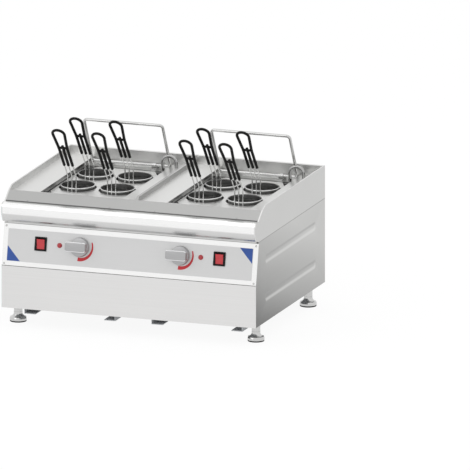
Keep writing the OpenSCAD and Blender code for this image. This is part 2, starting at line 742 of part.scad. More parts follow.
// A swan-neck tube over the rear corner of a tank, fed from a threaded inlet at the rear
module water_spout(name) color("silver")
    translate([module_x(side_sign(name)) + spout_x, well_rear - spout_back, 0]) {
    neck_z = body_h + spout_top - spout_tube / 2 - spout_gap / 2;
    mouth_z = plate_top + 7;
    riser_z = inlet_z + inlet_bend;
    run_l = rear_face_y - well_rear + spout_back - inlet_bend;
    difference() {
        union() {
            translate([0, 0, neck_z]) rotate([90, 0, 0]) tube_bend(spout_gap / 2, spout_tube, 180);
            translate([-spout_gap / 2, 0, mouth_z]) cylinder(d = spout_tube, h = neck_z - mouth_z);
        }
        translate([-spout_gap / 2, 0, mouth_z - cut_over]) cylinder(d = spout_tube - 3, h = 16);
    }
    translate([spout_gap / 2, 0, riser_z]) cylinder(d = spout_tube, h = neck_z - riser_z);
    translate([spout_gap / 2, inlet_bend, riser_z]) rotate([90, 0, 90]) rotate([0, 0, 180])
        tube_bend(inlet_bend, spout_tube, 90);
    translate([spout_gap / 2, inlet_bend, inlet_z]) rotate([-90, 0, 0]) difference() {
        union() {
            cylinder(d = spout_tube, h = run_l + 2);
            translate([0, 0, run_l]) cylinder(d = 28, h = 4, $fn = 6);
            translate([0, 0, run_l]) cylinder(d = inlet_d, h = body_d - rear_face_y - 1);
        }
        translate([0, 0, run_l - 6]) cylinder(d = spout_tube - 3, h = 40);
    }
}

// Controls

module thermostat(name) color("dimgray") on_panel(side_sign(name) * knob_x) {
    translate([-22, -22, -sheet_t - 34]) cube([44, 44, 34]);
    translate([0, 0, -sheet_t]) cylinder(r = spindle_r, h = sheet_t + knob_lift + knob_disc_t + 4);
}

// A disc with a bar across it that points left at rest
module knob(name) color("gray") on_panel(side_sign(name) * knob_x) translate([0, 0, knob_lift]) difference() {
    union() {
        cylinder(d1 = knob_d, d2 = knob_d - 3, h = knob_disc_t);
        translate([(knob_tail - knob_point) / 2, 0, knob_disc_t - 1]) linear_extrude(knob_bar_h + 1)
            rounded_rect(knob_point + knob_tail, knob_bar_w, 4);
    }
    translate([0, 0, -cut_over])
        cylinder(r = spindle_r + shaft_play, h = knob_disc_t + 4 + cut_over + seat_gap);
}

module switch_housing(name) color("black") on_panel(side_sign(name) * switch_x) difference() {
    union() {
        translate([0, 0, overlay_t]) linear_extrude(3) rounded_rect(switch_w, switch_h, 2);
        translate([0, 0, -26 / 2 + overlay_t]) cube([switch_w - 7, switch_h - 7, 26], center = true);
    }
    translate([0, 0, 5 - 9]) cube([rocker_w + 1.2, rocker_h + 1.4, 18], center = true);
    translate([0, 0, rocker_pivot]) rotate([0, 90, 0])
        cylinder(r = rocker_pin_r + shaft_play, h = rocker_w + 2 * rocker_pin_l + 0.4, center = true);
}

// A rocker on two pins, with its upper half standing out at rest
module rocker(name) color("red") on_panel(side_sign(name) * switch_x) translate([0, 0, rocker_pivot]) {
    rotate([rocker_throw, 0, 0]) rotate([90, 0, 90]) linear_extrude(rocker_w, center = true) polygon([
        [-rocker_h / 2 + 1.2, rocker_reach], [0, rocker_reach - 1.6], [rocker_h / 2 - 1.2, rocker_reach],
        [rocker_h / 2 - 1.8, 0], [5, -5], [-5, -5], [-rocker_h / 2 + 1.8, 0]
    ]);
    rotate([0, 90, 0]) cylinder(r = rocker_pin_r, h = rocker_w + 2 * rocker_pin_l, center = true);
}

module signal_lamps() color("red") for (s = [-1, 1]) on_panel(s * lamp_x) {
    translate([0, 0, -20]) cylinder(d = lamp_d - 5, h = 20 + overlay_t);
    translate([0, 0, overlay_t]) rotate_extrude() polygon(concat(
        [[0, 0], [lamp_d / 2, 0], [lamp_d / 2, 1.5]],
        [for (p = arc([0, 1.5], lamp_d / 2 - 1, 0, 90, 6)) [p[0], 1.5 + (p[1] - 1.5) * 0.7]]
    ));
}

// Legs and rear fittings

module at_leg(corner) translate([
    corner_sign(corner)[0] * (body_w / 2 - leg_inset_x),
    corner_sign(corner)[1] < 0 ? leg_inset_y : body_d - leg_inset_y,
    0
]) children();

module leg_sleeves() color("silver") for (c = CORNERS) at_leg(c) {
    difference() {
        union() {
            translate([-leg_plate / 2, -leg_plate / 2, -leg_plate_t])
                cube([leg_plate, leg_plate, leg_plate_t]);
            translate([0, 0, -sleeve_l_leg]) cylinder(d = sleeve_d, h = sleeve_l_leg);
        }
        translate([0, 0, -sleeve_l_leg - cut_over]) cylinder(r = stem_r + shaft_play, h = sleeve_l_leg - 2);
    }
}

// A bell-shaped foot that turns on its stem
module foot(corner) color("silver") at_leg(corner) rotate_extrude() polygon(concat(
    [[0, foot_top + sleeve_l_leg - 6], [stem_r, foot_top + sleeve_l_leg - 6], [stem_r, foot_top]],
    [[sleeve_d / 2, foot_top]],
    arc([foot_d / 2, foot_top - 3], (foot_d - sleeve_d) / 2, 180, 262, 8),
    [[foot_d / 2, -leg_h + sole_t + 6], [foot_d / 2, -leg_h + sole_t], [0, -leg_h + sole_t]]
));

module sole(corner) color("black") at_leg(corner) translate([0, 0, -leg_h])
    cylinder(d1 = foot_d - 2, d2 = foot_d, h = sole_t);

module cable_gland() color("dimgray") translate([0, rear_face_y, gland_z]) rotate([-90, 0, 0]) difference() {
    union() {
        translate([0, 0, -14]) cylinder(d = gland_d - 2 * shaft_play, h = 24);
        cylinder(d = 30, h = 5, $fn = 6);
        translate([0, 0, 5]) cylinder(d1 = 25, d2 = 18, h = 10);
        translate([0, 0, -sheet_t - 5]) cylinder(d = 28, h = 5, $fn = 6);
    }
    cylinder(d = gland_bore, h = 80, center = true);
}

module drawn(name) placed() children();

drawn("base_pan") base_pan();
drawn("base_rails") base_rails();
drawn("front_skirt") front_skirt();
drawn("control_panel") control_panel();
drawn("panel_overlay") panel_overlay();
drawn("panel_screws") panel_screws();
drawn("bullnose_rail") bullnose_rail();
drawn("top_casing") top_casing();
drawn("rear_panel") rear_panel();
drawn("false_bottoms") false_bottoms();
drawn("hanger_clips") hanger_clips();
drawn("drain_pipes") drain_pipes();
drawn("signal_lamps") signal_lamps();
drawn("leg_sleeves") leg_sleeves();
drawn("cable_gland") cable_gland();
for (s = SIDES) {
    drawn(str("side_panel_", s)) side_panel(s);
    drawn(str("tank_", s)) tank(s);
    drawn(str("heating_element_", s)) heating_element(s);
    drawn(str("hanger_frame_", s)) hanger_frame(s);
    drawn(str("water_spout_", s)) water_spout(s);
    drawn(str("thermostat_", s)) thermostat(s);
    drawn(str("switch_housing_", s)) switch_housing(s);
    drawn(str("rocker_", s)) rocker(s);
    drawn(str("knob_", s)) knob(s);
    drawn(str("basket_plate_", s)) basket_plate(s);
    for (c = CORNERS) {
        drawn(str("basket_", s, "_", c)) basket(s, c);
        drawn(str("grip_", s, "_", c)) grip(s, c);
    }
}
for (c = CORNERS) {
    drawn(str("foot_", c)) foot(c);
    drawn(str("sole_", c)) sole(c);
}
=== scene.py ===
"""Looks of a counter-top pasta cooker: wire baskets, pressed sheet, controls, finishes and a studio."""

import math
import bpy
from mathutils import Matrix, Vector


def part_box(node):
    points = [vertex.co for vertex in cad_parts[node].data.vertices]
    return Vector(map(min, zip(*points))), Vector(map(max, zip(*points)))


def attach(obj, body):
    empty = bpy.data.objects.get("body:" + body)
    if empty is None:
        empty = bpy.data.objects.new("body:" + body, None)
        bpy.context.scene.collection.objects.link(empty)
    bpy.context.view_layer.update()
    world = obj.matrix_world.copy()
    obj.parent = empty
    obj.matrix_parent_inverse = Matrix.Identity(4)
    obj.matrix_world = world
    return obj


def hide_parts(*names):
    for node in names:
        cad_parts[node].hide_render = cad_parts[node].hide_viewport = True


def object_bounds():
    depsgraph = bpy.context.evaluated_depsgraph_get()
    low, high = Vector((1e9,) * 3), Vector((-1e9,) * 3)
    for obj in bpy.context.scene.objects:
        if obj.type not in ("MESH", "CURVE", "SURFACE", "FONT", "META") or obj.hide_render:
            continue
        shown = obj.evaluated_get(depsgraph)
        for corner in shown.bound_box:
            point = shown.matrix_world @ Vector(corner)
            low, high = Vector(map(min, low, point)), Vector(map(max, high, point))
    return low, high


bl_info = {
    "name": "Pasta Cooker Looks",
    "version": (1, 0, 0),
    "blender": (4, 5, 0),
    "location": "3D View > Sidebar > Cooker",
    "description": "Dresses the packed solids of a two-tank pasta cooker and sets up its studio",
    "category": "Object",
}

from functools import reduce
from operator import or_

import bmesh
import bpy
from bpy.props import FloatProperty, FloatVectorProperty, IntProperty, PointerProperty
from mathutils import Matrix, Vector

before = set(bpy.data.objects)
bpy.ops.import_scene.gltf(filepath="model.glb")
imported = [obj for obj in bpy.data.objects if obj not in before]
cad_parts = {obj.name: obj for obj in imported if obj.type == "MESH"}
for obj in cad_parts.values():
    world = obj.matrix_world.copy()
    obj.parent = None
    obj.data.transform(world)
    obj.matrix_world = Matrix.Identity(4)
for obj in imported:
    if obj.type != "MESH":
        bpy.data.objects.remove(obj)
CAD_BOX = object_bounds()

SIDES = ("left", "right")
CORNERS = ("front_left", "front_right", "rear_left", "rear_right")
BODY = "cooker"
UP = Vector((0, 0, 1))

# Steps of the round forms
ROUND_STEPS = 64
DISC_STEPS = 72
ARC_STEPS = 40
BEND_STEPS = 8
BEAD_STEPS = 6
WIRE_SIDES = 10


# Properties


def length(name, description, default):
    """A length in metres that the sidebar shows."""
    return FloatProperty(name=name, description=description, default=default, unit="LENGTH", precision=5)


def angle(name, description, degrees):
    """An angle, given in degrees."""
    return FloatProperty(
        name=name, description=description, default=math.radians(degrees), subtype="ANGLE"
    )


def share(name, description, default):
    """A number between 0 and 1."""
    return FloatProperty(
        name=name, description=description, default=default, subtype="FACTOR", min=0, max=1
    )


def power(name, description, default):
    """A lamp's power in watts."""
    return FloatProperty(name=name, description=description, default=default, unit="POWER")


def spot(name, description, default):
    """A point in metres."""
    return FloatVectorProperty(
        name=name, description=description, default=default, subtype="TRANSLATION", unit="LENGTH"
    )


def colour(name, description, default):
    """A linear colour."""
    return FloatVectorProperty(
        name=name, description=description, default=default, subtype="COLOR", min=0, max=1
    )


class BasketSizes(bpy.types.PropertyGroup):
    """Sizes of a round wire basket"""

    rim_d: length("Rim diameter", "Outer diameter of the rim's wire ring", 0.105)
    rim_wire: length("Rim wire", "Thickness of the rim's wire", 0.004)
    cup_h: length("Cup height", "From the basket's lowest point to the middle of the rim's wire", 0.1647)
    hoop_drop: length("Hoop drop", "Distance of the second hoop below the rim", 0.043675)
    mesh_columns: IntProperty(
        name="Mesh columns", description="Upright wires round the cup", default=68, min=24, max=96
    )
    mesh_rows: IntProperty(
        name="Mesh rows", description="Rings of wire down the cup", default=34, min=12, max=48
    )
    mesh_wire: length("Mesh wire", "Thickness of the mesh's wire", 0.0011)
    hem_h: length("Hem", "Height of the strip under the rim that the mesh is folded into", 0.011)
    floor_h: length("Floor height", "Height of the woven floor above the lowest point", 0.003)
    base_wire: length("Base wire", "Thickness of the ring round the floor", 0.003)
    base_h: length("Base height", "Height of the base ring's middle above the lowest point", 0.0016)
    base_inset: length("Base inset", "How far the base ring lies inside the cup's wall", 0.0005)
    handle_wire: length("Handle wire", "Thickness of the handle's three wires", 0.0036)
    handle_gap: length("Handle wire spacing", "Distance between the handle's wires", 0.013)
    handle_y: length("Handle place", "Distance of the handle's wires in front of the cup's axis", 0.05217)
    handle_foot: length("Handle foot", "How far the handle's wires reach below the second hoop", 0.004)
    knee_h: length("Knee height", "Height above the rim where the handle starts to lean", 0.043)
    knee_r: length("Knee radius", "Bending radius of the handle's wires", 0.015)
    lean: angle("Handle lean", "Forward lean of the handle", 37.5)
    bare_l: length("Leaning length", "Length of the leaning wires up to their ends in the grip", 0.0565)


class CasingSizes(bpy.types.PropertyGroup):
    """Sizes of the casing's sheets"""

    sheet: length("Sheet", "Thickness of the casing's sheet", 0.002)
    panel_h: length("Panel height", "Height of the control panel", 0.124)
    panel_lean: length("Panel lean", "How far the control panel leans back over its height", 0.026)
    fascia_d: length("Fascia depth", "Depth of the sloped fascia above the bullnose", 0.036)
    wall: length("Side wall", "Thickness of the casing's side walls", 0.004)
    rib_w: length("Rib width", "Width of the rib between the wells", 0.008)
    well_drop: length("Well drop", "Drop from the top of the side walls to the wells' edges", 0.032)
    plate_play: length("Plate play", "Gap between a basket plate and its well's walls", 0.005)
    # The dark strip is painted shade below the wells' edges
    shade_h: length("Shaded strip", "Height of the dark strip on a well's side walls", 0.0085)
    # Height of the painted shadow at the fascia's foot, above the bullnose
    fascia_shadow: length("Fascia seam", "Height of the dark seam at the fascia's foot", 0.0025)
    side_seam: length("Side seam", "Height of the dark seam at the top of the sides", 0.0018)
    nose_r: length("Bullnose radius", "Rounding of the bullnose's upper front edge", 0.014)
    knee_h: share("Knee height", "Where the bullnose turns under, by its height", 0.5)
    knee_r: length("Knee radius", "Rounding of the bullnose where it turns under", 0.009)
    fold_h: share("Fold height", "Where the bullnose turns to the panel, by its height", 0.17)
    fold_d: share("Fold depth", "Where the bullnose turns to the panel, by its depth", 0.44)
    fold_r: length("Fold radius", "Rounding of the bullnose where it turns to the panel", 0.008)
    bead_depth: length("Bead depth", "Depth of the two beads pressed into each side", 0.003)
    bead_w: length("Bead width", "Width of a bead", 0.03)
    bead_soft: length("Bead edge", "Width of a bead's soft edge", 0.012)
    bead_r: length("Bead ends", "Rounding of a bead's ends", 0.0135)
    bead_front: length("Front margin", "Distance of the beads from the casing's front", 0.083)
    bead_rear: length("Rear margin", "Distance of the beads from the casing's rear", 0.08)
    bead_low: length("Lower bead", "Height of the lower bead's middle above the underside", 0.075)
    bead_high: length("Upper bead", "Height of the upper bead's middle above the underside", 0.191)


class ControlSizes(bpy.types.PropertyGroup):
    """Sizes of the controls and of the panel's print"""

    row_up: length("Row height", "Distance of the row of controls up the leaning panel", 0.07254)
    film: length("Film", "Thickness of the panel's film", 0.0008)
    knob_x: length("Knob place", "Distance of the knobs from the panel's middle", 0.158)
    knob_d: length("Knob diameter", "Diameter of a knob's disc", 0.059)
    knob_disc: length("Knob disc", "Thickness of a knob's disc", 0.012)
    knob_taper: length("Knob taper", "How much less the disc's radius is at its front", 0.0015)
    knob_soft: length("Knob edge", "Rounding of the disc's front edge", 0.002)
    knob_bar_h: length("Knob bar height", "Height of a knob's bar above its disc", 0.018)
    knob_bar_w: length("Knob bar width", "Width of a knob's bar", 0.03)
    knob_bar_r: length("Knob bar corners", "Rounding of the bar's corners", 0.006)
    knob_bar_soft: length("Knob bar edge", "Rounding of the bar's front edge", 0.003)
    knob_bar_sink: length("Knob bar sink", "How deep the bar reaches into the disc", 0.001)
    knob_point: length("Knob pointer", "Reach of the bar's pointing end", 0.038)
    knob_tail: length("Knob tail", "Reach of the bar's other end", 0.026)
    knob_lift: length("Knob lift", "Gap between the panel's sheet and a knob", 0.0015)
    arc_r: length("Arc radius", "Outer radius of the red heat arc round a knob", 0.042)
    arc_thin: length("Arc start", "Width of the heat arc at its cool end", 0.0036)
    arc_thick: length("Arc end", "Width of the heat arc at its hot end", 0.0115)
    arc_from: angle("Arc place", "Turn of the heat arc's cool end from the right", 24)
    arc_sweep: angle("Arc sweep", "Turn of the heat arc round the knob", 122)
    ink: length("Ink", "Thickness of the print", 0.00015)
    corner_w: length("Corner width", "Width of the blue corners", 0.041)
    corner_h: length("Corner height", "Height of the blue corners", 0.045)
    corner_gap: length("Corner gap", "Gap between the blue corners and the film's edges", 0.001)


class FinishColours(bpy.types.PropertyGroup):
    """Colours of the cooker's finishes"""

    skirt: colour("Skirt steel", "Pale brushed sheet of the skirt", (0.76, 0.755, 0.75))
    worktop: colour("Worktop steel", "Brushed sheet of the worktop and the plates", (0.72, 0.72, 0.71))
    # The side steel is a darker copy of the casing's steel: painted shade of the sides
    side: colour("Side steel", "Brushed sheet of the sides", (0.63, 0.63, 0.62))
    polished: colour("Polished steel", "Bullnose rail and panel border", (0.95, 0.95, 0.945))
    film: colour("Panel film", "Fine brushed film on the control panel", (0.66, 0.66, 0.66))
    chrome: colour("Chrome", "Wires, tubes and feet", (0.58, 0.58, 0.575))
    # The mesh wire's darkness is painted shade of the cups' insides; its dullness is its own roughness
    mesh: colour("Mesh wire", "Dull woven wire of the cups", (0.3, 0.3, 0.295))
    dull: colour("Galvanised sheet", "Base pan, rails and rear panel", (0.36, 0.37, 0.38))
    grip: colour("Grip coating", "Black coating of the grips", (0.006, 0.006, 0.006))
    red: colour("Signal red", "Rockers, lamps and heat arcs", (0.56, 0.025, 0.035))
    blue: colour("Corner blue", "Printed corners of the panel's film", (0.03, 0.09, 0.36))
    knob: colour("Knob grey", "Metallic grey of the knobs", (0.43, 0.43, 0.435))


class StageSettings(bpy.types.PropertyGroup):
    """Camera and light of the studio"""

    azimuth: angle("Azimuth", "Camera's turn to the right of the front", 19.48)
    elevation: angle("Elevation", "Camera's height above the horizon", 13.73)
    span: length("Span", "Width of the square picture at the object", 1.39402)
    distance: length("Distance", "Distance of the camera from the middle of the picture", 6)
    aim: spot("Aim", "Point in the middle of the picture", (0.20455, 0.06949, 0.2415))
    key_power: power("Key light", "Power of the main lamp", 12)
    key_place: spot("Key place", "Middle of the main lamp", (-1.6, -2.4, 2.2))
    key_w: length("Key width", "Width of the main lamp", 2.2)
    key_h: length("Key height", "Height of the main lamp", 1.8)
    top_power: power("Top light", "Power of the lamp above", 5)
    top_place: spot("Top place", "Middle of the lamp above", (0.3, 0.1, 2.6))
    top_w: length("Top width", "Width of the square lamp above", 2.4)
    lamp_aim: spot("Lamp aim", "Point that both lamps face", (0, 0, 0.2))
    room_light: share("Room light", "Strength of the light all round", 0.8)
    paper: share("Paper white", "How much of the floor is plain white to the camera", 0.88)
    floor_half: length("Floor", "Half the width of the floor", 6)
    floor_gap: length("Floor gap", "Distance of the floor below the feet", 0.0005)


# Shader expressions


class Value:
    """A node's output that can be used in sums and products"""

    def __init__(self, tree, socket):
        self.tree = tree
        self.socket = socket

    def _math(self, operation, first, second):
        node = self.tree.nodes.new("ShaderNodeMath")
        node.operation = operation
        for socket, term in zip(node.inputs, (first, second)):
            if isinstance(term, Value):
                self.tree.links.new(term.socket, socket)
            else:
                socket.default_value = term
        return Value(self.tree, node.outputs[0])

    def __add__(self, other):
        return self._math("ADD", self, other)

    __radd__ = __add__

    def __sub__(self, other):
        return self._math("SUBTRACT", self, other)

    def __rsub__(self, other):
        return self._math("SUBTRACT", other, self)

    def __mul__(self, other):
        return self._math("MULTIPLY", self, other)

    __rmul__ = __mul__

    def __gt__(self, other):
        return self._math("GREATER_THAN", self, other)

    def __lt__(self, other):
        return self._math("LESS_THAN", self, other)

    def __abs__(self):
        return self._math("ABSOLUTE", self, 0.0)

    def __or__(self, other):
        return self._math("MAXIMUM", self, other)


class Shading:
    """A node tree under construction"""

    def __init__(self, tree):
        self.tree = tree

    def node(self, kind, inputs=None, output=0, stops=None, **settings):
        """Adds a node with its settings, then its inputs, and gives one of its outputs."""
        node = self.tree.nodes.new(kind)
        for key, value in settings.items():
            setattr(node, key, value)
        if stops:
            ramp = node.color_ramp
            while len(ramp.elements) < len(stops):
                ramp.elements.new(0.5)
            for element, (place, tone) in zip(ramp.elements, stops):
                element.position = place
                element.color = tone
        self.fill(node, inputs or {})
        return Value(self.tree, node.outputs[output])

    def seen(self):
        """One for what the camera sees, also in mirrors and through glass, and zero for light."""
        rays = ("Is Camera Ray", "Is Glossy Ray", "Is Transmission Ray")
        camera, glossy, through = (self.node("ShaderNodeLightPath", output=ray) for ray in rays)
        return camera | glossy | through

    def fill(self, node, inputs):
        """Links values to a node's sockets and sets the others to numbers."""
        for socket, value in inputs.items():
            if isinstance(value, Value):
                self.tree.links.new(value.socket, node.inputs[socket])
            else:
                node.inputs[socket].default_value = value


class Finish(Shading):
    """A material under construction, with its shader"""

    def __init__(self, name, inputs):
        self.material = bpy.data.materials.new(name)
        self.material.use_nodes = True
        super().__init__(self.material.node_tree)
        self.shader = self.tree.nodes["Principled BSDF"]
        self.fill(self.shader, inputs)

    def feed(self, inputs):
        """Fills inputs of the shader and gives the material."""
        self.fill(self.shader, inputs)
        return self.material

    def place(self):
        """The piece's own coordinates."""
        return self.node("ShaderNodeTexCoord", output="Object")

    def mark(self, name):
        """A number that the piece's mesh carries."""
        return self.node("ShaderNodeAttribute", output="Fac", attribute_name=name)

    def noise(self, scale, detail=2.0, stretch=(1, 1, 1)):
        """Noise between 0 and 1 on the piece's own coordinates, stretched along an axis."""
        place = self.node("ShaderNodeMapping", {"Vector": self.place(), "Scale": stretch})
        return self.node(
            "ShaderNodeTexNoise", {"Vector": place, "Scale": scale, "Detail": detail, "Roughness": 0.55}
        )

    def tint(self, factor, dark, light):
        """A colour between two others, given as colours or as values."""
        dark, light = (c if isinstance(c, Value) else (*c, 1) for c in (dark, light))
        return self.node("ShaderNodeMix", {0: factor, 6: dark, 7: light}, output=2, data_type="RGBA")

    def axes(self):
        """The piece's own X, Y and Z."""
        split = self.tree.nodes.new("ShaderNodeSeparateXYZ")
        self.fill(split, {0: self.place()})
        return [Value(self.tree, socket) for socket in split.outputs]

    def ramp(self, factor, *stops):
        """Greys along a factor, given as places and brightnesses."""
        greys = [(place, (grey, grey, grey, 1)) for place, grey in stops]
        return self.node("ShaderNodeValToRGB", {"Fac": factor}, stops=greys)

    def times(self, tone, greys):
        """A colour made darker by greys."""
        return self.node(
            "ShaderNodeMix", {0: 1.0, 6: tone, 7: greys}, output=2, data_type="RGBA", blend_type="MULTIPLY"
        )

    def bump(self, height, strength, distance):
        """A normal that follows a height in small."""
        return self.node(
            "ShaderNodeBump", {"Height": height, "Strength": strength, "Distance": distance}
        )


def shade(tone, factor):
    """A colour made darker or lighter."""
    return tuple(min(1.0, channel * factor) for channel in tone)


def brush(finish, tone, grain, roughness):
    """Gives a finish scratches along one axis, faint smears and a tiny relief, and returns its colour."""
    scratches = finish.noise(1.0, 4.0, [3.0 if axis == grain else 260.0 for axis in "XYZ"])
    smears = finish.noise(5.0, 3.0)
    finish.feed({
        "Roughness": scratches * 0.16 + smears * 0.08 + (roughness - 0.12),
        "Normal": finish.bump(scratches, 0.12, 0.0004),
    })
    return finish.tint(scratches * 0.7 + smears * 0.3, shade(tone, 0.93), shade(tone, 1.06))


def brushed_steel(name, tone, grain, roughness=0.34):
    """Brushed sheet of one tone."""
    finish = Finish(name, {"Metallic": 1.0})
    return finish.feed({"Base Color": brush(finish, tone, grain, roughness)})


# How near to a form of the worktop a point is taken to belong to it
NEAR_RIB = 0.0003
NEAR_OUTSIDE = 0.0005
NEAR_EDGE = 0.001
NEAR_WALL = 0.0015
NEAR_PLATE = 0.02


def worktop_steel(name, tone, sizes):
    """Brushed sheet with painted shade: darker on the sloped fascia, on the rib and inside the wells,
    darkest at the fascia's foot and below the plates' top, and a little darker on the side walls' outer
    faces.
    """
    finish = Finish(name, {})
    steel = brush(finish, tone, "X", 0.32)
    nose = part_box("bullnose_rail")[1]
    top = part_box("top_casing")[1]
    edge = top.z - sizes.well_drop
    x, y, z = finish.axes()
    inner = abs(x) < top.x - sizes.wall
    front = y < nose.y + sizes.fascia_d
    # Painted shade on the sloped fascia
    fascia = inner * front * (z > nose.z - NEAR_EDGE)
    # Painted shadow in a thin strip at the fascia's foot, where it meets the bullnose
    seam = fascia * (z < nose.z + sizes.fascia_shadow)
    # Painted shade on the rib between the wells
    rib = (abs(x) < sizes.rib_w / 2 + NEAR_RIB) * (1 - front)
    walls = []
    for side in SIDES:
        low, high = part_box(f"basket_plate_{side}")
        for wall in (low.x - sizes.plate_play, high.x + sizes.plate_play):
            walls.append(abs(x - wall) < NEAR_WALL)
    # Painted shade in a strip just below the wells' edges, on their side walls
    strip = reduce(or_, walls) * (z < edge) * (z > edge - sizes.shade_h)
    # Painted shade, nearly black, on everything inside the wells below the plates' top
    below = (z < high.z - NEAR_EDGE) * (y > low.y - NEAR_PLATE) * (y < high.y + NEAR_PLATE)
    ledge_shade = inner * below
    steel = finish.tint(fascia, steel, shade(tone, 0.64))
    steel = finish.tint(rib, steel, shade(tone, 0.62))
    steel = finish.tint(strip, steel, shade(tone, 0.42))
    steel = finish.tint(seam | ledge_shade, steel, shade(tone, 0.16))
    # Painted shade on the outer faces of the side walls, to match the darker side steel
    steel = finish.tint(abs(x) > top.x - NEAR_OUTSIDE, steel, shade(tone, 0.79))
    return finish.feed({"Base Color": steel, "Metallic": 1 - fascia * 0.5})


def pressed_steel(name, tone, sizes):
    """Brushed side sheet with painted light and shade: darker towards its foot and its front, lighter and
    darker along its pressed edges, and a dark seam at its top.
    """
    finish = Finish(name, {"Metallic": 0.85})
    scratches = finish.noise(1.0, 4.0, (260, 3, 260))
    slope = finish.mark("slope")
    low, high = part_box("side_panel_right")
    _, y, z = finish.axes()
    rise = (z - low.z) * (1 / (high.z - low.z))
    depth = (y - low.y) * (1 / (high.y - low.y))
    # Painted shade that grows towards the sheet's foot and front
    plain = finish.ramp(rise * 0.5 + depth * 0.5, (0.05, 0.24), (0.32, 0.57), (0.75, 0.91))
    steel = finish.times(finish.tint(scratches, shade(tone, 0.95), shade(tone, 1.05)), plain)
    # Painted shade on bead sides that look down or to the rear, painted light on those that look up or
    # forwards
    steel = finish.tint(slope * -1.6, steel, shade(tone, 0.5))
    steel = finish.tint(slope * 1.6, steel, shade(tone, 1.25))
    steel = finish.tint(z > high.z - sizes.side_seam, steel, shade(tone, 0.42))
    return finish.feed({
        "Base Color": steel,
        "Roughness": scratches * 0.16 + 0.3,
        "Normal": finish.bump(scratches, 0.1, 0.0004),
    })


def sheen(finish):
    """The smears and the very fine grain of bright sheet."""
    return finish.noise(4.0, 3.0, (1, 3, 3)), finish.noise(1.0, 3.0, (4, 240, 240))


def rolled_steel(name, tone):
    """Bright rail with painted shade on its lower half, where it is rolled under, lighter again at its
    very foot.
    """
    finish = Finish(name, {"Metallic": 1.0})
    low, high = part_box("bullnose_rail")
    smears, grain = sheen(finish)
    z = finish.axes()[2]
    rise = (z - low.z) * (1 / (high.z - low.z))
    # Painted shade on the lower, rolled-under half, lighter again at the very foot
    dull = finish.ramp(rise, (0, 0.85), (0.1, 0.64), (0.48, 0.7), (0.55, 0.97))
    steel = finish.tint(smears, shade(tone, 0.97), shade(tone, 1.03))
    return finish.feed({
        "Base Color": finish.times(steel, dull),
        "Roughness": smears * 0.05 + grain * 0.04 + 0.2,
        "Normal": finish.bump(grain, 0.012, 0.0003),
    })


def polished_steel(name, tone):
    """Bright sheet with faint smears and a very fine grain."""
    finish = Finish(name, {"Metallic": 1.0})
    smears, grain = sheen(finish)
    return finish.feed({
        "Base Color": finish.tint(smears, shade(tone, 0.96), shade(tone, 1.03)),
        "Roughness": smears * 0.08 + grain * 0.08 + 0.12,
        "Normal": finish.bump(grain, 0.05, 0.0003),
    })


def panel_film(name, tone):
    """Printed film with a fine silver grain."""
    finish = Finish(name, {"Metallic": 0.55})
    grain = finish.noise(1.0, 3.0, (6, 500, 500))
    cloud = finish.noise(3.0, 2.0)
    return finish.feed({
        "Base Color": finish.tint(grain * 0.6 + cloud * 0.4, shade(tone, 0.95), shade(tone, 1.05)),
        "Roughness": grain * 0.1 + 0.36,
    })


def bright_chrome(name, tone, roughness=0.14, inside=None):
    """Bright wire and tube with a faint ripple, and a painted shade in another tone where a piece marks
    its inner side.
    """
    finish = Finish(name, {"Metallic": 1.0})
    ripple = finish.noise(60.0, 2.0)
    wire = finish.tint(ripple, shade(tone, 0.9), shade(tone, 1.08))
    if inside:
        mark = finish.mark("inside")
        wire = finish.tint(mark, wire, inside)
        finish.feed({"Metallic": 1 - mark * 0.85})
    return finish.feed({"Base Color": wire, "Roughness": ripple * 0.08 + (roughness - 0.04)})


def galvanised(name, tone):
    """Dull sheet with the flakes of hot-dip zinc."""
    finish = Finish(name, {"Metallic": 0.9})
    flakes = finish.node("ShaderNodeTexVoronoi", {"Vector": finish.place(), "Scale": 90.0}, feature="F1")
    return finish.feed({
        "Base Color": finish.tint(flakes, shade(tone, 1.1), shade(tone, 0.85)),
        "Roughness": flakes * 0.15 + 0.42,
    })


def dark_sheath(name):
    """Heat-darkened tube with brown and blue tempering."""
    finish = Finish(name, {"Metallic": 0.9})
    bands = finish.noise(14.0, 3.0)
    stops = [(0.3, (0.06, 0.05, 0.05, 1)), (0.55, (0.12, 0.09, 0.06, 1)), (0.75, (0.07, 0.08, 0.11, 1))]
    return finish.feed({
        "Base Color": finish.node("ShaderNodeValToRGB", {"Fac": bands}, stops=stops),
        "Roughness": bands * 0.2 + 0.35,
    })


def coated(name, tone, roughness, relief, gloss=1.48):
    """Moulded plastic, dip coating, rubber or print with a fine skin."""
    finish = Finish(name, {"IOR": gloss})
    skin = finish.noise(900.0, 2.0)
    cloud = finish.noise(25.0, 2.0)
    return finish.feed({
        "Base Color": finish.tint(cloud, shade(tone, 0.85), shade(tone, 1.15)),
        "Roughness": cloud * 0.12 + skin * 0.06 + (roughness - 0.09),
        "Normal": finish.bump(skin, relief, 0.0003),
    })


def glowing_plastic(name, tone, glow):
    """Red plastic that is lit a little from behind."""
    finish = Finish(
        name, {"IOR": 1.5, "Coat Weight": 0.4, "Coat Roughness": 0.08, "Emission Strength": glow}
    )
    cloud = finish.noise(60.0, 2.0)
    return finish.feed({
        "Base Color": finish.tint(cloud, shade(tone, 0.9), shade(tone, 1.12)),
        "Emission Color": finish.tint(cloud, shade(tone, 0.8), shade(tone, 1.2)),
        "Roughness": cloud * 0.1 + 0.2,
    })


def knob_metal(name, tone):
    """Grey metal with a painted highlight along the long edges that a piece marks."""
    finish = Finish(name, {"Metallic": 0.75})
    grain = finish.noise(1.0, 3.0, (20, 600, 600))
    plain = finish.tint(grain, shade(tone, 0.92), shade(tone, 1.08))
    return finish.feed({
        # Painted highlight where the piece marks it
        "Base Color": finish.tint(finish.mark("painted_highlight"), plain, shade(tone, 2.2)),
        "Roughness": grain * 0.1 + 0.26,
    })


FINISHES = {}


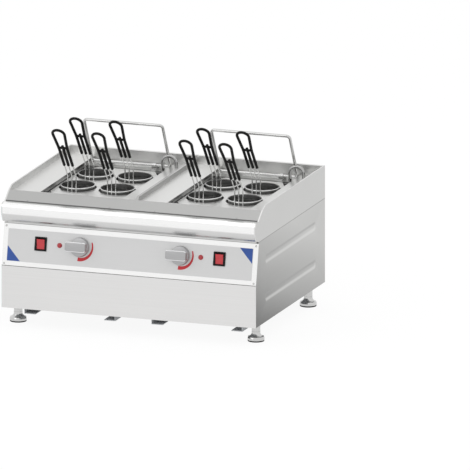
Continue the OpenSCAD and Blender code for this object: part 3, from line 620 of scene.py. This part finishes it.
def make_finishes(colours, casing):
    """Makes all of the cooker's materials from the colours in the sidebar."""
    FINISHES.update(
        skirt=brushed_steel("skirt_steel", colours.skirt, "X"),
        worktop=worktop_steel("worktop_steel", colours.worktop, casing),
        plate=brushed_steel("plate_steel", shade(colours.worktop, 0.92), "X", 0.3),
        side=pressed_steel("side_steel", colours.side, casing),
        rolled=rolled_steel("rolled_steel", colours.polished),
        # The tanks' steel is a much darker copy of the worktop's steel: painted shade inside the tanks
        tank=brushed_steel("tank_steel_painted_shade", shade(colours.worktop, 0.35), "Z", 0.42),
        polished=polished_steel("polished_steel", shade(colours.polished, 0.95)),
        film=panel_film("panel_film", colours.film),
        chrome=bright_chrome("bright_chrome", colours.chrome),
        spout=bright_chrome("spout_chrome", shade(colours.chrome, 0.72), 0.2),
        # The basket wire is a lighter copy of the chrome, painted light, with painted shade in a dark mesh
        # tone on its marked inner side
        wire=bright_chrome("basket_wire", shade(colours.chrome, 1.35), 0.14, shade(colours.mesh, 0.4)),
        # Dark mesh tone: painted shade of the cups' insides
        mesh=bright_chrome("mesh_wire", colours.mesh, 0.4),
        rail=coated("rail_paint", shade(colours.dull, 1.5), 0.5, 0.1),
        dull=galvanised("galvanised_sheet", colours.dull),
        sheath=dark_sheath("element_sheath"),
        grip=coated("grip_coating", colours.grip, 0.45, 0.15, 1.25),
        moulded=coated("moulded_black", shade(colours.grip, 1.4), 0.45, 0.2, 1.25),
        rubber=coated("sole_rubber", colours.grip, 0.75, 0.3, 1.2),
        rocker=glowing_plastic("rocker_red", shade(colours.red, 0.95), 0.08),
        lamp=glowing_plastic("lamp_red", shade(colours.red, 0.7), 0.12),
        print_red=coated("print_red", colours.red, 0.45, 0.05),
        print_blue=coated("print_blue", colours.blue, 0.45, 0.05),
        knob=knob_metal("knob_grey", colours.knob),
    )


def dress(finish, *names):
    """Gives CAD nodes a finish."""
    for name in names:
        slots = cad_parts[name].data.materials
        slots.clear()
        slots.append(FINISHES[finish])


# Mesh helpers


def of_type(geom, kind):
    """The vertices, edges or faces in what an operator made."""
    return [item for item in geom if isinstance(item, kind)]


def edges_of(verts):
    """All edges that meet some vertices."""
    return list({edge for vert in verts for edge in vert.link_edges})


def add_piece(name, bm, finish, body, smooth=30):
    """Makes a piece from a bmesh that is in place, and lets it ride on a body."""
    mesh = bpy.data.meshes.new(name)
    bm.to_mesh(mesh)
    bm.free()
    mesh.materials.append(FINISHES[finish])
    mesh.shade_smooth()
    mesh.set_sharp_from_angle(angle=math.radians(smooth))
    piece = bpy.data.objects.new(name, mesh)
    bpy.context.scene.collection.objects.link(piece)
    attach(piece, body)
    return piece


def settle(bm, place):
    """Moves a finished shape to its place and turns its faces outwards."""
    bmesh.ops.transform(bm, matrix=place, verts=bm.verts)
    bmesh.ops.recalc_face_normals(bm, faces=bm.faces)


def polyline(bm, points, closed=False):
    """Edges through a few points."""
    verts = [bm.verts.new(point) for point in points]
    pairs = list(zip(verts, verts[1:]))
    if closed:
        pairs.append((verts[-1], verts[0]))
    return verts, [bm.edges.new(pair) for pair in pairs]


def absorb(bm, other):
    """Moves another shape into this one."""
    part = bpy.data.meshes.new("part")
    other.to_mesh(part)
    other.free()
    bm.from_mesh(part)
    bpy.data.meshes.remove(part)


def round_corners(bm, verts, radius, segments):
    """Rounds the corners of a flat outline."""
    bmesh.ops.bevel(
        bm, geom=verts, affect="VERTICES", offset_type="OFFSET", offset=radius, segments=segments,
        profile=0.5, material=-1,
    )


def soften(bm, edges, radius, segments):
    """Rounds edges."""
    bmesh.ops.bevel(
        bm, geom=edges, affect="EDGES", offset_type="OFFSET", offset=radius, segments=segments,
        profile=0.5, material=-1,
    )


def pull(bm, edges, step):
    """Extrudes edges by a step and gives the new ones."""
    made = bmesh.ops.extrude_edge_only(bm, edges=edges)["geom"]
    verts = of_type(made, bmesh.types.BMVert)
    bmesh.ops.translate(bm, verts=verts, vec=step)
    moved = set(verts)
    return [edge for edge in of_type(made, bmesh.types.BMEdge) if all(v in moved for v in edge.verts)]


def raise_faces(bm, faces, height):
    """Gives flat faces a thickness along Z."""
    made = bmesh.ops.extrude_face_region(bm, geom=faces, use_keep_orig=True)["geom"]
    bmesh.ops.translate(bm, verts=of_type(made, bmesh.types.BMVert), vec=UP * height)


def rounded_plate(bm, width, depth, radius, segments):
    """A flat plate with rounded corners, on the XY plane."""
    old = set(bm.faces)
    made = bmesh.ops.create_grid(bm, x_segments=1, y_segments=1, size=0.5)["verts"]
    bmesh.ops.scale(bm, vec=(width, depth, 1), verts=made)
    round_corners(bm, made, radius, segments)
    return next(face for face in bm.faces if face not in old)


def revolve(bm, verts, edges):
    """Spins a closed outline all the way round the Z axis."""
    bmesh.ops.spin(
        bm, geom=verts + edges, cent=(0, 0, 0), axis=UP, angle=math.tau, steps=ROUND_STEPS, use_merge=True
    )


def ring(bm, radius, wire, height, sides):
    """A wire ring round the Z axis."""
    across = Matrix.Translation((radius, 0, height)) @ Matrix.Rotation(math.pi / 2, 4, "X")
    verts = bmesh.ops.create_circle(bm, segments=sides, radius=wire / 2, matrix=across)["verts"]
    revolve(bm, verts, edges_of(verts))


class Wire:
    """A round wire drawn from one ring of vertices by extruding and spinning it"""

    def __init__(self, bm, start, heading, thickness):
        self.bm = bm
        self.tip = Vector(start)
        self.heading = Vector(heading).normalized()
        across = UP.rotation_difference(self.heading).to_matrix().to_4x4()
        across.translation = self.tip
        verts = bmesh.ops.create_circle(
            bm, cap_ends=True, segments=WIRE_SIDES, radius=thickness / 2, matrix=across
        )["verts"]
        self.edges = edges_of(verts)

    def straight(self, reach):
        """Goes on straight ahead."""
        self.edges = pull(self.bm, self.edges, self.heading * reach)
        self.tip += self.heading * reach
        return self

    def bend(self, axis, turn, radius):
        """Turns about an axis."""
        axis = Vector(axis)
        centre = self.tip + axis.cross(self.heading) * radius
        verts = list({vert for edge in self.edges for vert in edge.verts})
        made = bmesh.ops.spin(
            self.bm, geom=verts + self.edges, cent=centre, axis=axis, angle=turn, steps=BEND_STEPS,
            use_merge=False,
        )["geom_last"]
        self.edges = of_type(made, bmesh.types.BMEdge)
        spun = Matrix.Rotation(turn, 3, axis)
        self.tip = centre + spun @ (self.tip - centre)
        self.heading = spun @ self.heading
        return self

    def end(self):
        """Closes the far end."""
        bmesh.ops.edgeloop_fill(self.bm, edges=self.edges)


# Baskets


# A rim is marked as inside, for painted shade, where its normal points less than this along the radius
OUTWARD = 0.2


def cup_radius(sizes):
    """Radius of the cup's wall, which hangs inside the rim's wire."""
    return (sizes.rim_d - sizes.rim_wire * 1.5) / 2


def cup_wall(sizes, radius):
    """The cup's upright wall as one sheet of small faces."""
    sheet = bmesh.new()
    verts = bmesh.ops.create_circle(sheet, segments=sizes.mesh_columns, radius=radius)["verts"]
    edges = edges_of(verts)
    step = Vector((0, 0, (sizes.floor_h - sizes.cup_h) / sizes.mesh_rows))
    for _ in range(sizes.mesh_rows):
        edges = pull(sheet, edges, step)
    return sheet


def cup_floor(sizes, radius):
    """The cup's floor as a grid of small faces inside its bottom ring."""
    sheet = bmesh.new()
    count = sizes.mesh_columns // 3
    place = Matrix.Translation((0, 0, sizes.floor_h - sizes.cup_h))
    bmesh.ops.create_grid(sheet, x_segments=count, y_segments=count, size=radius, matrix=place)
    outside = [vert for vert in sheet.verts if vert.co.xy.length > radius]
    bmesh.ops.delete(sheet, geom=outside, context="VERTS")
    return sheet


def add_net(bm, sheet, wire):
    """Adds a sheet's edges to a basket as a net of wire."""
    bmesh.ops.wireframe(
        sheet, faces=sheet.faces, thickness=wire, use_replace=True, use_boundary=True,
        use_even_offset=True,
    )
    absorb(bm, sheet)


def fold_hem(bm, radius, height, thickness):
    """The strip under the rim that the net is folded into."""
    inner = radius - thickness
    outline = [(radius, 0, 0), (radius, 0, -height), (inner, 0, -height), (inner, 0, 0)]
    revolve(bm, *polyline(bm, outline, closed=True))


def weave_net(sizes):
    """The woven cup of a basket, with the middle of its rim at the origin."""
    cup_r = cup_radius(sizes)
    bm = bmesh.new()
    add_net(bm, cup_wall(sizes, cup_r), sizes.mesh_wire)
    add_net(bm, cup_floor(sizes, cup_r), sizes.mesh_wire)
    fold_hem(bm, cup_r, sizes.hem_h, sizes.mesh_wire)
    bmesh.ops.recalc_face_normals(bm, faces=bm.faces)
    return bm


def bend_frame(sizes):
    """The hoops and handle wires of a basket, with the middle of its rim at the origin."""
    rim_r = (sizes.rim_d - sizes.rim_wire) / 2
    base_r = cup_radius(sizes) - sizes.base_inset
    bm = bmesh.new()
    ring(bm, rim_r, sizes.rim_wire, 0, sides=12)
    ring(bm, rim_r, sizes.rim_wire, -sizes.hoop_drop, sides=8)
    ring(bm, base_r, sizes.base_wire, sizes.base_h - sizes.cup_h, sides=6)
    bmesh.ops.recalc_face_normals(bm, faces=bm.faces)
    bm.normal_update()
    # The inside mark paints shade on the rings' inner and upper sides
    inside = bm.verts.layers.float.new("inside")
    for vert in bm.verts:
        vert[inside] = float(vert.normal.xy.dot(vert.co.xy.normalized()) < OUTWARD)
    foot = sizes.hoop_drop + sizes.handle_foot
    for i in (-1, 0, 1):
        wire = Wire(bm, (i * sizes.handle_gap, -sizes.handle_y, -foot), UP, sizes.handle_wire)
        wire.straight(foot + sizes.knee_h - sizes.knee_r * math.sin(sizes.lean))
        wire.bend((1, 0, 0), sizes.lean, sizes.knee_r)
        wire.straight(sizes.bare_l).end()
    bmesh.ops.recalc_face_normals(bm, faces=bm.faces)
    return bm


class COOKER_OT_baskets(bpy.types.Operator):
    """Weave the eight round baskets and coat their grips"""

    bl_idname = "cooker.baskets"
    bl_label = "Baskets"

    def execute(self, context):
        sizes = context.scene.cooker_baskets
        patterns = {"wire": bend_frame(sizes), "net": weave_net(sizes)}
        for side in SIDES:
            for corner in CORNERS:
                node = f"basket_{side}_{corner}"
                low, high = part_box(node)
                rim = Vector(((low.x + high.x) / 2, high.y - sizes.rim_d / 2, low.z + sizes.cup_h))
                for kind, finish in (("wire", "wire"), ("net", "mesh")):
                    bm = patterns[kind].copy()
                    bmesh.ops.translate(bm, verts=bm.verts, vec=rim)
                    piece = add_piece(f"{kind}_{node}", bm, finish, node, 40)
                    if kind == "wire":
                        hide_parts(node)
                dress("grip", f"grip_{side}_{corner}")
        for pattern in patterns.values():
            pattern.free()
        return {"FINISHED"}


# Casing


# A point of a side sheet is on its outer face where its normal points at least this much outwards
OUTER = 0.85
# How much painted shade a bead's side that looks to the rear gets, beside one that looks down
REAR_SHADE = 0.6


def press_side(sizes, sign):
    """A side sheet with two softly pressed beads, drawn flat with Y to the rear as X and up as Y."""
    low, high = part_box("side_panel_right")
    skirt_low, skirt_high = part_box("front_skirt")
    lean = sizes.sheet / math.cos(math.atan2(sizes.panel_lean, sizes.panel_h))
    front = skirt_low.y
    bend = skirt_high.z
    bm = bmesh.new()
    bead_l = high.y - front - sizes.bead_front - sizes.bead_rear
    for height in (sizes.bead_low, sizes.bead_high):
        bead = rounded_plate(bm, bead_l, sizes.bead_w, sizes.bead_r, segments=10)
        middle = (front + sizes.bead_front + bead_l / 2, low.z + height, 0)
        bmesh.ops.translate(bm, verts=list(bead.verts), vec=middle)
        for i in range(BEAD_STEPS):
            before, after = (math.cos(math.pi * t / BEAD_STEPS) for t in (i, i + 1))
            bmesh.ops.inset_region(
                bm, faces=[bead], thickness=sizes.bead_soft / BEAD_STEPS,
                depth=sizes.bead_depth * (after - before) / 2, use_boundary=True, use_even_offset=True,
            )
    rim = [edge for edge in bm.edges if edge.is_boundary]
    behind = front + lean + sizes.panel_lean
    outline = [
        (low.y, low.z, 0), (low.y, bend, 0), (behind, bend + sizes.panel_h, 0), (behind, high.z, 0),
        (high.y, high.z, 0), (high.y, low.z, 0),
    ]
    _, edges = polyline(bm, outline, closed=True)
    bmesh.ops.triangle_fill(bm, edges=rim + edges, use_beauty=True)
    bmesh.ops.recalc_face_normals(bm, faces=bm.faces)
    if next(iter(bm.faces)).normal.z < 0:
        bmesh.ops.reverse_faces(bm, faces=bm.faces)
    bmesh.ops.solidify(bm, geom=bm.faces, thickness=sizes.sheet)
    place = Matrix(((0, 0, sign, sign * high.x), (1, 0, 0, 0), (0, 1, 0, 0), (0, 0, 0, 1)))
    settle(bm, place)
    bm.normal_update()
    # Painted light and shade on the outer face, from the direction each vertex's normal looks
    slope = bm.verts.layers.float.new("slope")
    for vert in bm.verts:
        if vert.normal.x * sign > OUTER:
            vert[slope] = vert.normal.z - REAR_SHADE * vert.normal.y
    return bm


def roll_bullnose(sizes):
    """The front rail, from its top rear edge round to its lower rear edge."""
    low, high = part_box("bullnose_rail")
    reach = high.y - low.y
    rise = high.z - low.z
    bm = bmesh.new()
    outline = [
        (low.x, high.y, high.z),
        (low.x, low.y, high.z),
        (low.x, low.y, low.z + sizes.knee_h * rise),
        (low.x, low.y + sizes.fold_d * reach, low.z + sizes.fold_h * rise),
        (low.x, high.y, low.z),
    ]
    verts, _ = polyline(bm, outline)
    for vert, radius in zip(verts[1:], (sizes.nose_r, sizes.knee_r, sizes.fold_r)):
        round_corners(bm, [vert], radius, segments=8)
    pull(bm, list(bm.edges), Vector((high.x - low.x, 0, 0)))
    bmesh.ops.recalc_face_normals(bm, faces=bm.faces)
    if sum(face.normal.y for face in bm.faces) > 0:
        bmesh.ops.reverse_faces(bm, faces=bm.faces)
    bmesh.ops.solidify(bm, geom=bm.faces, thickness=sizes.sheet)
    bmesh.ops.recalc_face_normals(bm, faces=bm.faces)
    return bm


class COOKER_OT_casing(bpy.types.Operator):
    """Press the side sheets, roll the front rail and finish the casing's sheets, tanks and plates"""

    bl_idname = "cooker.casing"
    bl_label = "Casing"

    def execute(self, context):
        sizes = context.scene.cooker_casing
        for side, sign in zip(SIDES, (-1, 1)):
            sheet = add_piece(
                f"pressed_side_{side}", press_side(sizes, sign), "side", BODY, 40
            )
            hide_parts(f"side_panel_{side}")
        rail = add_piece("rolled_bullnose", roll_bullnose(sizes), "rolled", BODY, 40)
        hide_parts("bullnose_rail")
        dress("skirt", "front_skirt")
        dress("worktop", "top_casing")
        dress("plate", "false_bottoms", "basket_plate_left", "basket_plate_right")
        dress("polished", "control_panel")
        dress("film", "panel_overlay")
        dress("dull", "base_pan", "rear_panel")
        dress("rail", "base_rails")
        dress("tank", "tank_left", "tank_right")
        return {"FINISHED"}


class COOKER_OT_fittings(bpy.types.Operator):
    """Finish the tubes, feet, heating elements and rear fittings"""

    bl_idname = "cooker.fittings"
    bl_label = "Fittings"

    def execute(self, context):
        dress("chrome", "hanger_clips", "drain_pipes", "leg_sleeves", "panel_screws")
        dress("moulded", "cable_gland")
        for side in SIDES:
            dress("chrome", f"hanger_frame_{side}")
            dress("spout", f"water_spout_{side}")
            dress("sheath", f"heating_element_{side}")
            dress("moulded", f"thermostat_{side}")
        for corner in CORNERS:
            dress("chrome", f"foot_{corner}")
            dress("rubber", f"sole_{corner}")
        return {"FINISHED"}


# Controls


# Faces of a knob's bar that look this much sideways get a painted highlight, full where they also look
# forwards and faint elsewhere
CREST_SIDE = 0.3
CREST_FRONT = 0.15
CREST_FAINT = 0.35


def on_panel(x, up, out):
    """A frame on the leaning panel: X to the right, Y up the panel and Z out of its sheet."""
    casing = bpy.context.scene.cooker_casing
    lean = math.atan2(casing.panel_lean, casing.panel_h)
    low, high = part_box("front_skirt")
    foot = Matrix.Translation((x, low.y, high.z)) @ Matrix.Rotation(math.pi / 2 - lean, 4, "X")
    return foot @ Matrix.Translation((0, up, out))


def turn_knob(sizes):
    """A knob on the XY plane: a low disc with a wide bar that points to the left."""
    bm = bmesh.new()
    disc_r = sizes.knob_d / 2
    verts = bmesh.ops.create_cone(
        bm, cap_ends=True, segments=DISC_STEPS, radius1=disc_r, radius2=disc_r - sizes.knob_taper,
        depth=sizes.knob_disc, matrix=Matrix.Translation((0, 0, sizes.knob_disc / 2)),
    )["verts"]
    top = [v for v in verts if v.co.z > sizes.knob_disc / 2]
    soften(bm, [e for e in edges_of(top) if all(v in top for v in e.verts)], sizes.knob_soft, segments=3)
    bar = bmesh.new()
    bar_l = sizes.knob_point + sizes.knob_tail
    face = rounded_plate(bar, bar_l, sizes.knob_bar_w, sizes.knob_bar_r, segments=6)
    raise_faces(bar, [face], sizes.knob_bar_h + sizes.knob_bar_sink)
    lid = max(bar.faces, key=lambda f: f.calc_center_median().z)
    soften(bar, list(lid.edges), sizes.knob_bar_soft, segments=4)
    foot = ((sizes.knob_tail - sizes.knob_point) / 2, 0, sizes.knob_disc - sizes.knob_bar_sink)
    bmesh.ops.translate(bar, verts=bar.verts, vec=foot)
    absorb(bm, bar)
    bm.normal_update()
    # Painted highlight on the bar's long edges, fainter on faces that don't look forwards
    painted_highlight = bm.faces.layers.float.new("painted_highlight")
    for face in bm.faces:
        if face.calc_center_median().z > sizes.knob_disc and abs(face.normal.y) > CREST_SIDE:
            face[painted_highlight] = 1.0 if abs(face.normal.z) > CREST_FRONT else CREST_FAINT
    return bm


def heat_arc(sizes):
    """A printed arc that grows thicker towards its hot end."""
    bm = bmesh.new()
    start = Vector((math.cos(sizes.arc_from), math.sin(sizes.arc_from), 0))
    verts, edges = polyline(bm, [start * (sizes.arc_r - sizes.arc_thin), start * sizes.arc_r])
    bmesh.ops.spin(
        bm, geom=verts + edges, cent=(0, 0, 0), axis=UP, angle=-sizes.arc_sweep, steps=ARC_STEPS,
        use_merge=False,
    )
    for vert in bm.verts:
        if vert.co.length < sizes.arc_r - sizes.arc_thin / 2:
            grown = start.angle(vert.co) / sizes.arc_sweep
            width = sizes.arc_thin + (sizes.arc_thick - sizes.arc_thin) * grown
            vert.co *= (sizes.arc_r - width) / vert.co.length
    raise_faces(bm, list(bm.faces), sizes.ink)
    return bm


def printed_corner(sizes, sign):
    """A plain triangle for the film's lower left or upper right, with its corner at the origin."""
    bm = bmesh.new()
    points = [(0, 0, 0), (-sign * sizes.corner_w, 0, 0), (0, -sign * sizes.corner_h, 0)]
    verts, _ = polyline(bm, points, closed=True)
    raise_faces(bm, [bm.faces.new(verts)], sizes.ink)
    return bm


class COOKER_OT_controls(bpy.types.Operator):
    """Turn the knobs, print the panel and finish the switches and lamps"""

    bl_idname = "cooker.controls"
    bl_label = "Controls"

    def execute(self, context):
        sizes = context.scene.cooker_controls
        casing = context.scene.cooker_casing
        margin = CAD_BOX[1].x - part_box("panel_overlay")[1].x + sizes.corner_gap
        dress("lamp", "signal_lamps")
        for side, sign in zip(SIDES, (-1, 1)):
            dress("moulded", f"switch_housing_{side}")
            dress("rocker", f"rocker_{side}")
            bm = turn_knob(sizes)
            settle(bm, on_panel(sign * sizes.knob_x, sizes.row_up, sizes.knob_lift))
            knob = add_piece(f"turned_knob_{side}", bm, "knob", f"knob_{side}", 40)
            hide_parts(f"knob_{side}")
            bm = heat_arc(sizes)
            settle(bm, on_panel(sign * sizes.knob_x, sizes.row_up, sizes.film))
            add_piece(f"heat_arc_{side}", bm, "print_red", BODY)
            bm = printed_corner(sizes, sign)
            up = margin if sign < 0 else math.hypot(casing.panel_lean, casing.panel_h) - margin
            settle(bm, on_panel(sign * (CAD_BOX[1].x - margin), up, sizes.film))
            add_piece(f"blue_corner_{side}", bm, "print_blue", BODY)
        return {"FINISHED"}


# Studio


def add_lamp(name, place, aim, size, energy):
    """Adds a soft lamp that faces a point."""
    lamp = bpy.data.lights.new(name, "AREA")
    lamp.shape = "RECTANGLE"
    lamp.size, lamp.size_y = size
    lamp.energy = energy
    holder = bpy.data.objects.new(name, lamp)
    holder.location = place
    holder.rotation_euler = (Vector(aim) - Vector(place)).to_track_quat("-Z", "Y").to_euler()
    bpy.context.scene.collection.objects.link(holder)


def light_room(world, strength):
    """White for the camera, mirrors and glass, and a soft light for everything else."""
    world.use_nodes = True
    room = Shading(world.node_tree)
    back = world.node_tree.nodes["Background"]
    room.fill(back, {"Color": (1, 1, 1, 1), "Strength": room.seen() * (1 - strength) + strength})


def floor_paper(white):
    """Paper that is white to the camera but keeps some of the cooker's shadow."""
    finish = Finish("floor_paper", {"Base Color": (0.86, 0.86, 0.86, 1), "Roughness": 0.9})
    paper = finish.node("ShaderNodeEmission", {"Strength": 1.04})
    shader = Value(finish.tree, finish.shader.outputs[0])
    mixed = finish.node("ShaderNodeMixShader", {0: finish.seen() * white, 1: shader, 2: paper})
    finish.fill(finish.tree.nodes["Material Output"], {"Surface": mixed})
    return finish.material


class COOKER_OT_stage(bpy.types.Operator):
    """Set up the floor, the lights and the camera"""

    bl_idname = "cooker.stage"
    bl_label = "Studio"

    def execute(self, context):
        scene = context.scene
        stage = scene.cooker_stage
        scene.view_settings.view_transform = "Standard"
        scene.world = scene.world or bpy.data.worlds.new("studio")
        light_room(scene.world, stage.room_light)

        bm = bmesh.new()
        bmesh.ops.create_grid(bm, x_segments=1, y_segments=1, size=stage.floor_half)
        bmesh.ops.translate(bm, verts=bm.verts, vec=(0, 0, CAD_BOX[0].z - stage.floor_gap))
        mesh = bpy.data.meshes.new("floor")
        bm.to_mesh(mesh)
        bm.free()
        mesh.materials.append(floor_paper(stage.paper))
        floor = bpy.data.objects.new("floor", mesh)
        scene.collection.objects.link(floor)

        add_lamp("key", stage.key_place, stage.lamp_aim, (stage.key_w, stage.key_h), stage.key_power)
        add_lamp("top", stage.top_place, stage.lamp_aim, (stage.top_w, stage.top_w), stage.top_power)

        camera = bpy.data.cameras.new("camera")
        camera.type = "ORTHO"
        camera.ortho_scale = stage.span
        a, e = stage.azimuth, stage.elevation
        back = Vector((math.sin(a) * math.cos(e), -math.cos(a) * math.cos(e), math.sin(e)))
        holder = bpy.data.objects.new("camera", camera)
        holder.location = Vector(stage.aim) + stage.distance * back
        holder.rotation_euler = (-back).to_track_quat("-Z", "Y").to_euler()
        scene.collection.objects.link(holder)
        scene.camera = holder
        return {"FINISHED"}


class COOKER_PT_sidebar(bpy.types.Panel):
    """Lists the cooker's steps, sizes and colours"""

    bl_idname = "COOKER_PT_sidebar"
    bl_label = "Pasta Cooker"
    bl_space_type = "VIEW_3D"
    bl_region_type = "UI"
    bl_category = "Cooker"

    def draw(self, context):
        for step in STEPS:
            self.layout.operator(step.bl_idname)
        for name, group in GROUPS.items():
            box = self.layout.box()
            for key in group.__annotations__:
                box.prop(getattr(context.scene, name), key)


GROUPS = {
    "cooker_baskets": BasketSizes,
    "cooker_casing": CasingSizes,
    "cooker_controls": ControlSizes,
    "cooker_colours": FinishColours,
    "cooker_stage": StageSettings,
}
STEPS = (COOKER_OT_casing, COOKER_OT_fittings, COOKER_OT_controls, COOKER_OT_baskets, COOKER_OT_stage)
CLASSES = (*GROUPS.values(), *STEPS, COOKER_PT_sidebar)


def register():
    for cls in CLASSES:
        bpy.utils.register_class(cls)
    for name, group in GROUPS.items():
        setattr(bpy.types.Scene, name, PointerProperty(type=group))


def unregister():
    for name in GROUPS:
        delattr(bpy.types.Scene, name)
    for cls in reversed(CLASSES):
        bpy.utils.unregister_class(cls)


def main():
    register()
    make_finishes(bpy.context.scene.cooker_colours, bpy.context.scene.cooker_casing)
    bpy.ops.cooker.casing()
    bpy.ops.cooker.fittings()
    bpy.ops.cooker.controls()
    bpy.ops.cooker.baskets()
    bpy.ops.cooker.stage()


if __name__ == "__main__":
    main()
